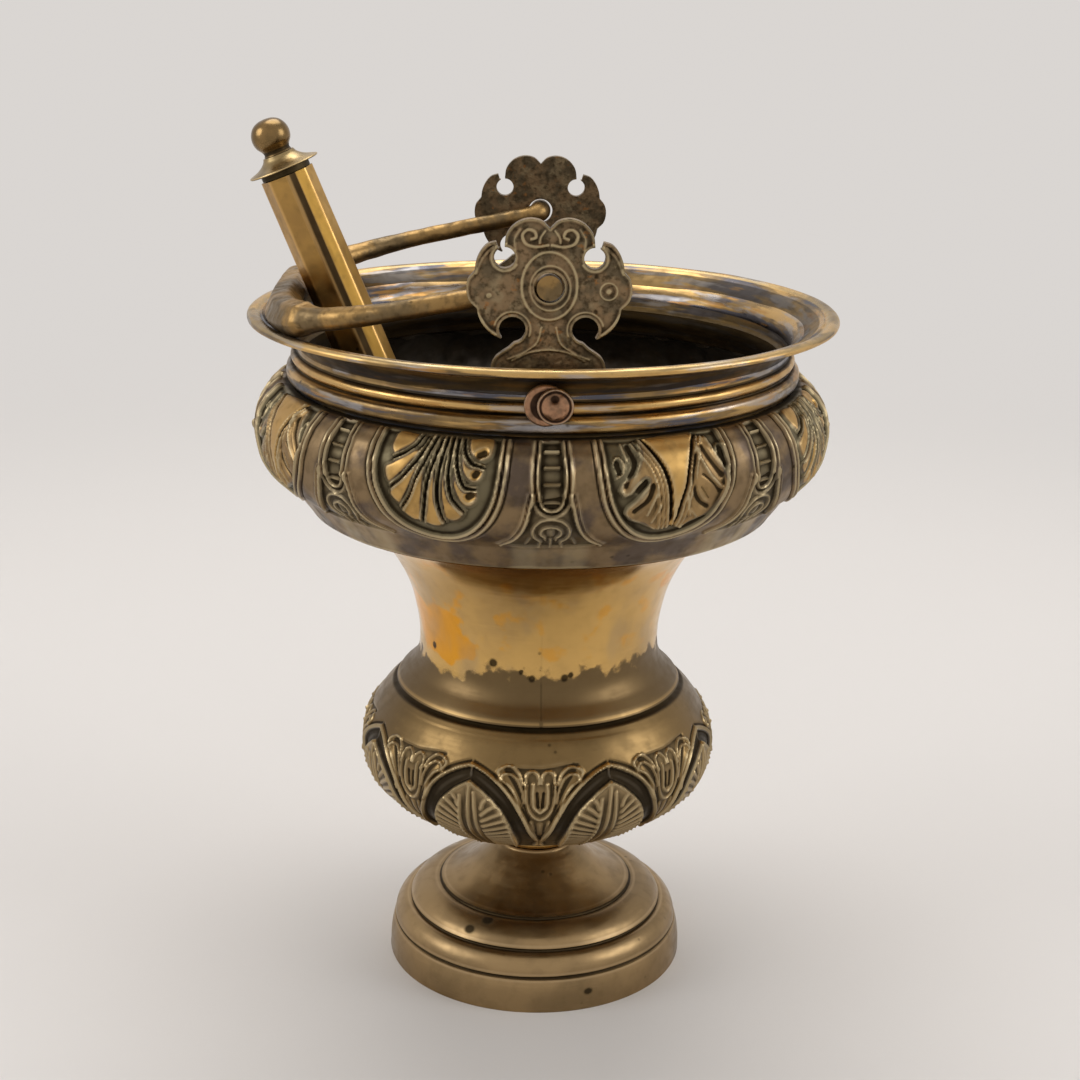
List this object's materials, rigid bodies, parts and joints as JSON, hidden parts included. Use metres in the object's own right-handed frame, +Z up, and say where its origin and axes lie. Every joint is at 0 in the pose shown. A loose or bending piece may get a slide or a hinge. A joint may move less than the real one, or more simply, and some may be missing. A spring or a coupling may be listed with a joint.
{
  "type": "holy water bucket with aspergillum",
  "caption": "Footed brass holy water bucket with embossed panels, flared rim and swinging bail, holding a loose sprinkler with octagonal handle.",
  "frame": {"origin": "centre of the foot's ring on the floor, under the middle of the whole object", "axes": "+Z up; the bail's two ears stand on the Y axis, the one in front at -Y, and the bail and the aspergillum lean towards -X"},
  "size_m": [0.22, 0.22, 0.3331],
  "materials": {
    "aged_brass": "aged, dark in the recesses",
    "bright_brass": "worn polish with orange patches",
    "dark_brass": "cast, pitted brown",
    "copper": "hammered copper",
    "lead": "dull soft metal",
    "steel": "dull",
    "sponge": "open natural sponge"
  },
  "bodies": {
    "bucket": {"foot_shell": "aged_brass", "stem_collar": "bright_brass", "foot_stud": "steel", "stud_seal": "lead", "foot_washer": "dark_brass", "foot_nut": "dark_brass", "lower_bowl": "aged_brass", "waist": "bright_brass", "upper_bulge": "aged_brass", "neck_rim": "aged_brass", "ear_front": "dark_brass", "ear_rear": "dark_brass", "rivet_front": "copper", "rivet_rear": "copper", "rove_front": "copper", "rove_rear": "copper"},
    "bail": {"bail": "dark_brass"},
    "sponge": {"sponge": "sponge"},
    "aspergillum": {"head_upper_half": "aged_brass", "head_lower_half": "aged_brass", "tube_ferrule": "bright_brass", "handle_tube": "bright_brass", "cap_flange": "bright_brass", "finial_ball": "bright_brass", "tie_rod": "steel"}
  },
  "joints": [
    {"name": "bail_swing", "type": "hinge", "parent": "bucket", "child": "bail", "pos_m": [0, 0, 0.2883], "axis": [0, 1, 0], "range_deg": [0, 203.3]},
    {"name": "aspergillum_lift", "type": "slide", "parent": "bucket", "child": "sponge", "axis": [0, 0, 1], "range_m": [0, 0.26]},
    {"name": "aspergillum_tilt", "type": "hinge", "parent": "sponge", "child": "aspergillum", "pos_m": [0.003, 0, 0.0743], "axis": [0, 1, 0], "range_deg": [0, 42.9]}
  ],
  "couplings": [
    {"joint": "aspergillum_tilt", "follows": "bail_swing", "ratio": 0.2105}
  ]
}
